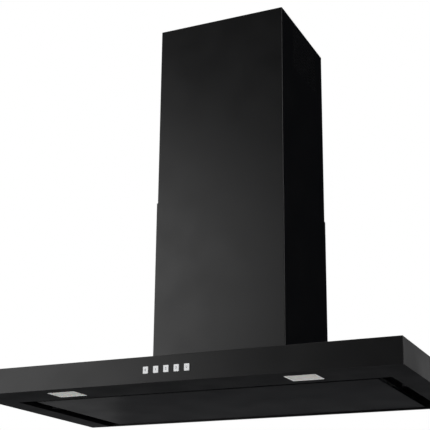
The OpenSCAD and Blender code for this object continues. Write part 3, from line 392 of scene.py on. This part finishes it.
# puts a mesh in the scene with smooth shading that keeps its flats flat
def placePiece(name, mesh, material, body, replaced=()):
    mesh.materials.clear()
    mesh.materials.append(material)
    mesh.polygons.foreach_set("use_smooth", [True] * len(mesh.polygons))
    mesh.set_sharp_from_angle(angle=math.radians(shapeSettings["sharpAngle"]))
    piece = bpy.data.objects.new(name, mesh)
    scene.collection.objects.link(piece)
    weighted = piece.modifiers.new("flatFaces", "WEIGHTED_NORMAL")
    weighted.keep_sharp = True
    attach(piece, body)
    if replaced:
        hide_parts(*replaced)
    return piece


# a CAD node's shape with its folds rounded and its sharp edges broken
def refineNode(node, fold, edge, extra=None):
    shape = startShape(node)
    if fold or edge:
        bmesh.ops.dissolve_limit(shape, angle_limit=math.radians(shapeSettings["flatAngle"]),
                                 verts=shape.verts, edges=shape.edges)
    low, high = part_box(node)
    if fold:
        folds = [e for e in sharpEdges(shape) if isOuterFold(e, low, high, fold * mm)]
        bevelEdges(shape, folds, fold * mm, shapeSettings["foldSegments"])
    if edge:
        bevelEdges(shape, sharpEdges(shape), edge * mm, shapeSettings["edgeSegments"])
    if extra:
        extra(shape, low, high)
    material = nodeFinishes.get(node, finishes[slotOfNode[node]])
    return placePiece(node + "_skin", endShape(shape, node + "Skin"), material, bodyOfNode[node],
                      [node])


# all in millimetres: rim round the dish in a cap, depth of the dish, height of a printed digit, ink's thickness
capSettings = {"rim": 0.9, "dish": 0.18, "digit": 6.4, "ink": 0.03}
buttonNodes = ("button_off", "button_low", "button_mid", "button_high", "button_lamp")


# a shallow dish pressed into the front of a button's cap
def dishFront(shape, low, high):
    front = [f for f in shape.faces if isFlatTo([v.co.y for v in f.verts], low.y)]
    face = max(front, key=lambda f: f.calc_area())
    bmesh.ops.inset_region(shape, faces=[face], thickness=capSettings["rim"] * mm, use_even_offset=True)
    for vert in face.verts:
        vert.co.y += capSettings["dish"] * mm


# bend radius of the folds and of the broken edges, in millimetres, for each CAD node that is refined
foldRadii = {
    "canopy_shell": (1.1, 0.25), "underside_frame": (0, 0.3), "lower_chimney": (1.8, 0.2),
    "upper_chimney": (1.8, 0.12), "suction_panel": (1.2, 0.2), "back_plate": (0, 0.2),
    "filter_deck": (0, 0.2), "filter_rear_rail": (0, 0.2), "filter_keepers": (0, 0.2),
    "button_carrier": (0.8, 0.2), "switch_board": (0, 0.15), "switch_cover": (1.2, 0.3),
    "panel_liner": (0, 0.2), "panel_ribs": (1.0, 0.2), "panel_hinge_leaves": (0, 0.25),
    "hinge_brackets": (0, 0.25), "hinge_pins": (0, 0.3), "panel_catches": (0.6, 0.2), "catch_plates": (0, 0.2),
    "blower_housing": (0, 0.2), "housing_screws": (0, 0.3), "motor": (0, 0.8), "motor_bracket": (0, 0),
    "motor_bushes": (0, 0.3), "fan_wheel": (0, 0.12), "motor_shaft": (0, 0.4), "capacitor": (0, 0.6),
    "power_box": (1.2, 0.3), "power_board": (0, 0.2), "terminal_block": (0, 0.3), "cable_gland": (0, 0.4),
    "duct_collar": (0, 0.3), "flap_pin": (0, 0.3), "upper_bracket": (0, 0.2), "wall_frame": (0, 0.3),
    "chimney_feet": (0, 0.2),
}
pairedRadii = {"filter_frame_": (1.2, 0.2), "filter_latch_": (0, 0.4), "lamp_housing_": (0, 0.25),
               "led_board_": (0, 0.1), "scroll_": (0, 0.3), "flap_": (0, 0.2)}
for side in sides:
    foldRadii.update({stem + side: radii for stem, radii in pairedRadii.items()})
foldRadii.update({node: (0, 0.45, dishFront) for node in buttonNodes})
skins = {node: refineNode(node, *radii) for node, radii in foldRadii.items()}
print("pieces refined:", len(skins))

# the leads and the filters' wavy backing keep their CAD shape
for node in ("inner_leads", "filter_mesh_left", "filter_mesh_right"):
    nodes[node].data.materials.clear()
    nodes[node].data.materials.append(finishes[slotOfNode[node]])


def middleX(node):
    low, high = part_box(node)
    return (low.x + high.x) / 2


# splits a node of several coils into one piece for each joint, cut halfway between neighbouring buttons or
# latches; each piece rides the root body
def makeSprings(node, joints):
    order = sorted(joints, key=lambda joint: joints[joint])
    limits = [-math.inf] + [(joints[a] + joints[b]) / 2 for a, b in zip(order, order[1:])] + [math.inf]
    for joint, left, right in zip(order, limits, limits[1:]):
        shape = startShape(node)
        outside = [v for v in shape.verts if not left < v.co.x < right]
        bmesh.ops.delete(shape, geom=outside, context="VERTS")
        piece = placePiece(node + "_" + joint, endShape(shape, node + "Coil"), finishes[slotOfNode[node]],
                           "root", [node])
        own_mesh(piece)


makeSprings("button_springs", {node + "_press": middleX(node) for node in buttonNodes})
makeSprings("latch_springs", {"latch_" + side + "_slide": middleX("filter_latch_" + side) for side in sides})


def meshFrom(name, points, faces):
    mesh = bpy.data.meshes.new(name)
    mesh.from_pydata(points, [], faces)
    mesh.validate()
    return mesh


# a box between two corners, in metres; its fifth face is the bottom
def boxPoints(low, high):
    points = [(x, y, z) for x in (low[0], high[0]) for y in (low[1], high[1]) for z in (low[2], high[2])]
    faces = [(0, 1, 3, 2), (4, 6, 7, 5), (0, 4, 5, 1), (2, 3, 7, 6), (0, 2, 6, 4), (1, 5, 7, 3)]
    return points, faces


# the outline of a digit as a flat mesh in the XZ plane, facing the room
def digitMesh(digit):
    curve = bpy.data.curves.new("digit" + digit, "FONT")
    curve.body = digit
    curve.size = capSettings["digit"] * mm
    curve.offset = 0.012 * capSettings["digit"] * mm
    curve.align_x = "CENTER"
    curve.align_y = "CENTER"
    letter = bpy.data.objects.new("digit" + digit, curve)
    scene.collection.objects.link(letter)
    bpy.context.view_layer.update()
    mesh = bpy.data.meshes.new_from_object(letter.evaluated_get(bpy.context.evaluated_depsgraph_get()))
    bpy.data.objects.remove(letter)
    mesh.transform(Matrix.Rotation(math.radians(90), 4, "X"))
    return mesh


# all in millimetres: the ring's radii and centre, then half the width and the foot of each bar and their height
bulbSettings = {"inner": 1.25, "outer": 1.75, "centre": 0.75, "bars": ((0.75, -1.55), (0.55, -2.35)),
                "bar": 0.5, "segments": 28}


# a light bulb: a ring for the glass and two bars for the screw cap
def bulbMesh(s):
    points, faces = [], []
    for k in range(s["segments"]):
        angle = 2 * math.pi * k / s["segments"]
        n = (k + 1) % s["segments"]
        for radius in (s["inner"], s["outer"]):
            points.append((radius * math.cos(angle) * mm, 0, (s["centre"] + radius * math.sin(angle)) * mm))
        faces.append((2 * k, 2 * n, 2 * n + 1, 2 * k + 1))
    for half, foot in s["bars"]:
        first = len(points)
        corners = ((-half, foot), (half, foot), (half, foot + s["bar"]), (-half, foot + s["bar"]))
        points += [(x * mm, 0, z * mm) for x, z in corners]
        faces.append((first, first + 1, first + 2, first + 3))
    return meshFrom("bulb", points, faces)


# lays a flat mark in the dish of a cap, proud by its ink
def printMark(node, mesh):
    low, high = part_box(node)
    front = low.y + (capSettings["dish"] - capSettings["ink"]) * mm
    mesh.transform(Matrix.Translation(((low.x + high.x) / 2, front, (low.z + high.z) / 2)))
    placePiece(node + "_mark", mesh, ink, bodyOfNode[node])


for digit, node in enumerate(buttonNodes[:4]):
    printMark(node, digitMesh(str(digit)))
printMark("button_lamp", bulbMesh(bulbSettings))

# all in millimetres: pyramids moulded into the face of the lens
lensSettings = {"pitch": 2.6, "depth": 0.7, "edge": 2.2}


# a lens whose lower face is a plain border round a field of shallow pyramids
def makeLens(node, s):
    low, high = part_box(node)
    edge = s["edge"] * mm
    columns = round((high.x - low.x - 2 * edge) / (s["pitch"] * mm))
    rows = round((high.y - low.y - 2 * edge) / (s["pitch"] * mm))
    stepX = (high.x - low.x - 2 * edge) / columns
    stepY = (high.y - low.y - 2 * edge) / rows
    across = columns + 1  # points in one row
    points, faces = boxPoints(low, high)
    del faces[4]
    first = len(points)
    for k in range(rows + 1):
        points += [(low.x + edge + i * stepX, low.y + edge + k * stepY, low.z) for i in range(across)]
    peak = len(points)
    for k in range(rows):
        points += [(low.x + edge + (i + 0.5) * stepX, low.y + edge + (k + 0.5) * stepY, low.z + s["depth"] * mm)
                   for i in range(columns)]
    for k in range(rows):
        for i in range(columns):
            a = first + k * across + i
            ring = (a, a + across, a + across + 1, a + 1)
            faces += [(ring[n], ring[(n + 1) % 4], peak + k * columns + i) for n in range(4)]
    front = [first + i for i in range(across)]
    rear = [first + rows * across + i for i in range(across)]
    left = [first + k * across for k in range(rows + 1)]
    right = [first + k * across + columns for k in range(rows + 1)]
    faces += [[0] + front + [4], [6] + rear[::-1] + [2], [2] + left[::-1] + [0], [4] + right + [6]]
    plan = meshFrom(node + "Plan", points, faces)
    shape = bmesh.new()
    shape.from_mesh(plan)
    bpy.data.meshes.remove(plan)
    bmesh.ops.recalc_face_normals(shape, faces=shape.faces)
    mesh = endShape(shape, node + "Skin")
    placePiece(node + "_skin", mesh, finishes[slotOfNode[node]], bodyOfNode[node], [node])
    mesh.polygons.foreach_set("use_smooth", [False] * len(mesh.polygons))


for side in sides:
    makeLens("lamp_lens_" + side, lensSettings)

# all in millimetres: diamonds of expanded aluminium over the wavy backing of a filter
gridSettings = {"across": 9.0, "along": 4.5, "strand": 0.7, "thick": 0.5, "lift": 0.3}


# a sheet of expanded metal just under the filter's backing
def makeFilterGrid(side, s):
    backing = "filter_mesh_" + side
    low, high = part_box(backing)
    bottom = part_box("filter_frame_" + side)[0].z + s["lift"] * mm
    across, along = s["across"] * mm, s["along"] * mm
    points, faces = [], []

    def addStrand(start, end):
        run = Vector((end[0] - start[0], end[1] - start[1], 0))
        aside = Vector((-run.y, run.x, 0)).normalized() * s["strand"] * mm / 2
        first = len(points)
        for z in (bottom, bottom + s["thick"] * mm):
            for x, y in (start, end):
                middle = Vector((x, y, z))
                points.extend([tuple(middle - aside), tuple(middle + aside)])
        around = ((0, 1, 3, 2), (4, 6, 7, 5), (0, 2, 6, 4), (1, 5, 7, 3))  # the joined ends stay open
        faces.extend([tuple(first + n for n in face) for face in around])

    columns = int((high.x - low.x) / across)
    rows = int((high.y - low.y) / along)
    startX = (low.x + high.x - columns * across) / 2
    startY = (low.y + high.y - rows * along) / 2
    for k in range(rows):
        for i in range(columns):
            x, y = startX + (i + 0.5) * across, startY + (k + 0.5) * along
            for toX in (-across / 2, across / 2):
                for toY in (-along / 2, along / 2):
                    addStrand((x + toX, y), (x, y + toY))
    slot = slotOfNode[backing]
    mesh = meshFrom("filterGrid" + side, points, faces)
    placePiece("filter_grid_" + side, mesh, finishes[slot], bodyOfNode[backing])


for side in sides:
    makeFilterGrid(side, gridSettings)

# all in millimetres, from the upper section's top, wall side and inner face: a dark gauze sheet behind the
# vents, painted shade for the chimney's inside
ventShadeSettings = {"rear": 44, "front": 205, "top": 4, "bottom": 118, "sheet": 1.0, "gap": 0.1, "thick": 0.3}


# a dark gauze sheet inside the upper section, painted shade that makes the vents look dark and hides what is
# behind them
def makeVentGauze(side, s):
    low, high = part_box("upper_chimney")
    outer = high.x - (s["sheet"] + s["gap"]) * mm
    facing = -1 if side == "left" else 1
    span = sorted(facing * x for x in (outer, outer - s["thick"] * mm))
    points, faces = boxPoints((span[0], high.y - s["front"] * mm, high.z - s["bottom"] * mm),
                              (span[1], high.y - s["rear"] * mm, high.z - s["top"] * mm))
    name = "vent_shade_gauze_" + side
    placePiece(name, meshFrom(name, points, faces), ventShade, bodyOfNode["upper_chimney"])


for side in sides:
    makeVentGauze(side, ventShadeSettings)
print("marks, lenses, filter grids and gauze made")

# metres; the floor is far wider than any view and lies below the opened panel
floorSettings = {"dark": "#eeeeef", "light": "#f1f1f2", "glow": 0.16, "roughness": 0.8, "mottle": 0.4,
                 "drop": 1.15, "size": 400.0}


# pale matt paint, hardly mottled
def makeFloor(s):
    bpy.ops.mesh.primitive_plane_add(size=s["size"], location=(0, 0, -s["drop"]))
    floor = bpy.context.object
    floor.name = "studioFloor"
    m, tree, shader, place = startMaterial("paintedStudioFloor", {
        "IOR": 1.4, "Roughness": s["roughness"], "Emission Color": toLinear(s["light"]),
        "Emission Strength": s["glow"]})
    mottle = addNode(tree, "ShaderNodeTexNoise", {"Scale": 1 / s["mottle"], "Detail": 3}, {"Vector": place})
    shadeByPattern(tree, shader, mottle.outputs["Fac"], s["dark"], s["light"])
    # from underneath the floor is clear, so that the hood's underside can be looked at
    below = addNode(tree, "ShaderNodeNewGeometry").outputs["Backfacing"]
    clear = addNode(tree, "ShaderNodeBsdfTransparent").outputs[0]
    addNode(tree, "ShaderNodeMixShader", links={0: below, 1: shader.outputs[0], 2: clear},
            feeds={0: tree.nodes["Material Output"].inputs["Surface"]})
    floor.data.materials.append(m)
    floor.visible_glossy = False


# azimuth 0 is straight in front of the hood and 90 is on its right, in degrees; sizes and distance in metres;
# radiance in watts per square metre and steradian; lights names the pieces a box reaches, or it reaches all
softboxes = {
    "keyLeft": {"azimuth": -49, "elevation": 1, "width": 3.2, "height": 3.4, "radiance": 1.84},
    "chimneyFront": {"azimuth": -33, "elevation": 13, "width": 2.2, "height": 1.3, "radiance": 0.85,
                     "lights": ("lower_chimney", "upper_chimney")},
    "canopyFront": {"azimuth": -18, "elevation": 3, "width": 2.0, "height": 1.6, "radiance": 0.1,
                    "lights": ("canopy_shell",)},
    "canopySide": {"azimuth": 167, "elevation": 10, "width": 1.5, "height": 1.5, "radiance": 0.4,
                   "lights": ("canopy_shell",)},
    "rearLow": {"azimuth": -160, "elevation": -10, "width": 3.6, "height": 1.0, "radiance": 0.115,
                "lights": ("underside_frame", "canopy_shell")},
    "panelLow": {"azimuth": -161, "elevation": -10, "width": 3.4, "height": 1.0, "radiance": 0.07,
                 "lights": ("suction_panel",)},
    "panelLowLeft": {"azimuth": -140, "elevation": -10, "width": 1.0, "height": 1.0, "radiance": 0.09,
                     "lights": ("suction_panel",)},
    "sideRight": {"azimuth": 66, "elevation": 18, "width": 2.0, "height": 2.4, "radiance": 3.0},
    "sideLeft": {"azimuth": -110, "elevation": 25, "width": 2.5, "height": 2.5, "radiance": 0.8},
    "rearLeft": {"azimuth": -150, "elevation": 40, "width": 3.0, "height": 2.4, "radiance": 1.2},
    "rearRight": {"azimuth": 115, "elevation": 58, "width": 2.2, "height": 1.6, "radiance": 0.8},
    "overhead": {"azimuth": 0, "elevation": 80, "width": 3.5, "height": 3.0, "radiance": 1.0},
    "lowRight": {"azimuth": 42, "elevation": -12, "width": 2.2, "height": 1.2, "radiance": 0.6, "away": 3.0},
    "rearSideRight": {"azimuth": 114, "elevation": -2, "width": 1.6, "height": 2.0, "radiance": 0.4,
                      "away": 3.0},
    "rearSideLeft": {"azimuth": -116, "elevation": 0, "width": 2.2, "height": 2.4, "radiance": 0.4, "away": 3.0,
                     "lights": ("canopy_shell", "lower_chimney", "upper_chimney", "wall_frame")},
    "metalFront": {"azimuth": 0, "elevation": -15, "width": 14.0, "height": 7.0, "radiance": 0.55,
                   "lights": "bare metal"},
    "metalRear": {"azimuth": 180, "elevation": 15, "width": 14.0, "height": 7.0, "radiance": 0.6,
                  "lights": "bare metal"},
}
usualDistance = 4.0  # metres from the middle of the hood to a softbox
bareMetals = ("galvanised_steel", "bright_steel", "filter_aluminium")


# the pieces that one light reaches: those of the named nodes, or all with a bare metal finish
def litPieces(wanted):
    group = bpy.data.collections.new("lit")
    if wanted == "bare metal":
        wanted = [node for node in nodes if slotOfNode[node] in bareMetals and node not in nodeFinishes]
        for side in sides:
            group.objects.link(bpy.data.objects["filter_grid_" + side])
    for node in wanted:
        group.objects.link(skins.get(node, nodes[node]))
    return group


def makeSoftbox(name, box):
    light = bpy.data.lights.new(name, "AREA")
    light.shape = "RECTANGLE"
    light.size = box["width"]
    light.size_y = box["height"]
    light.energy = box["radiance"] * math.pi * box["width"] * box["height"]
    lamp = bpy.data.objects.new(name, light)
    scene.collection.objects.link(lamp)
    turn, lift = math.radians(box["azimuth"]), math.radians(box["elevation"])
    away = Vector((math.sin(turn) * math.cos(lift), -math.cos(turn) * math.cos(lift), math.sin(lift)))
    lamp.location = (cadLow + cadHigh) / 2 + away * box.get("away", usualDistance)
    lamp.rotation_mode = "QUATERNION"
    lamp.rotation_quaternion = (-away).to_track_quat("-Z", "Y")
    lamp.visible_camera = False
    lamp.visible_diffuse = name == "keyLeft"  # the others only show as reflections
    if "lights" in box:
        lamp.light_linking.receiver_collection = litPieces(box["lights"])


# brightness of the surroundings as seen, as soft fill and in reflections
worldLight = {"seen": 1.0, "diffuse": 0.72, "glossy": 0.009, "glossyColour": "#d6dfff"}


def makeWorld(s):
    world = bpy.data.worlds.new("softStudio")
    scene.world = world
    world.use_nodes = True
    tree = world.node_tree
    tree.nodes.clear()
    rays = addNode(tree, "ShaderNodeLightPath")
    tint = {"glossy": toLinear(s["glossyColour"]), "diffuse": (1, 1, 1, 1), "seen": (1, 1, 1, 1)}
    ground = {use: addNode(tree, "ShaderNodeBackground", {"Color": tint[use], "Strength": s[use]}).outputs[0]
              for use in tint}
    lit = addNode(tree, "ShaderNodeMixShader",
                  links={0: rays.outputs["Is Diffuse Ray"], 1: ground["glossy"], 2: ground["diffuse"]})
    whole = addNode(tree, "ShaderNodeMixShader",
                    links={0: rays.outputs["Is Camera Ray"], 1: lit.outputs[0], 2: ground["seen"]})
    addNode(tree, "ShaderNodeOutputWorld", links={"Surface": whole.outputs[0]})
    world.cycles.sampling_method = "NONE"


# turned left and tilted up from straight at the wall, in degrees; place in metres; lens in millimetres
cameraSettings = {"place": (0.9088, -2.2819, -0.3582), "turn": 24.48, "tilt": 16.65, "roll": 0.55,
                  "lens": 91.15, "sensor": 36.0, "rise": 0.1}


def makeCamera(s):
    turn, tilt, roll = (math.radians(s[k]) for k in ("turn", "tilt", "roll"))
    ahead = Vector((-math.sin(turn) * math.cos(tilt), math.cos(turn) * math.cos(tilt), math.sin(tilt)))
    side = Vector((math.cos(turn), math.sin(turn), 0))
    up = side.cross(ahead)
    rolledSide = math.cos(roll) * side + math.sin(roll) * up
    rolledUp = math.cos(roll) * up - math.sin(roll) * side
    camera = bpy.data.objects.new("camera", bpy.data.cameras.new("camera"))
    scene.collection.objects.link(camera)
    axes = Matrix((rolledSide, rolledUp, -ahead)).transposed().to_4x4()
    camera.matrix_world = Matrix.Translation(Vector(s["place"])) @ axes
    camera.data.lens = s["lens"]
    camera.data.sensor_width = s["sensor"]
    camera.data.shift_y = s["rise"]
    scene.camera = camera


makeFloor(floorSettings)
for name, box in softboxes.items():
    makeSoftbox(name, box)
makeWorld(worldLight)
makeCamera(cameraSettings)
scene.view_settings.view_transform = "Standard"
print("floor, lights and camera made")
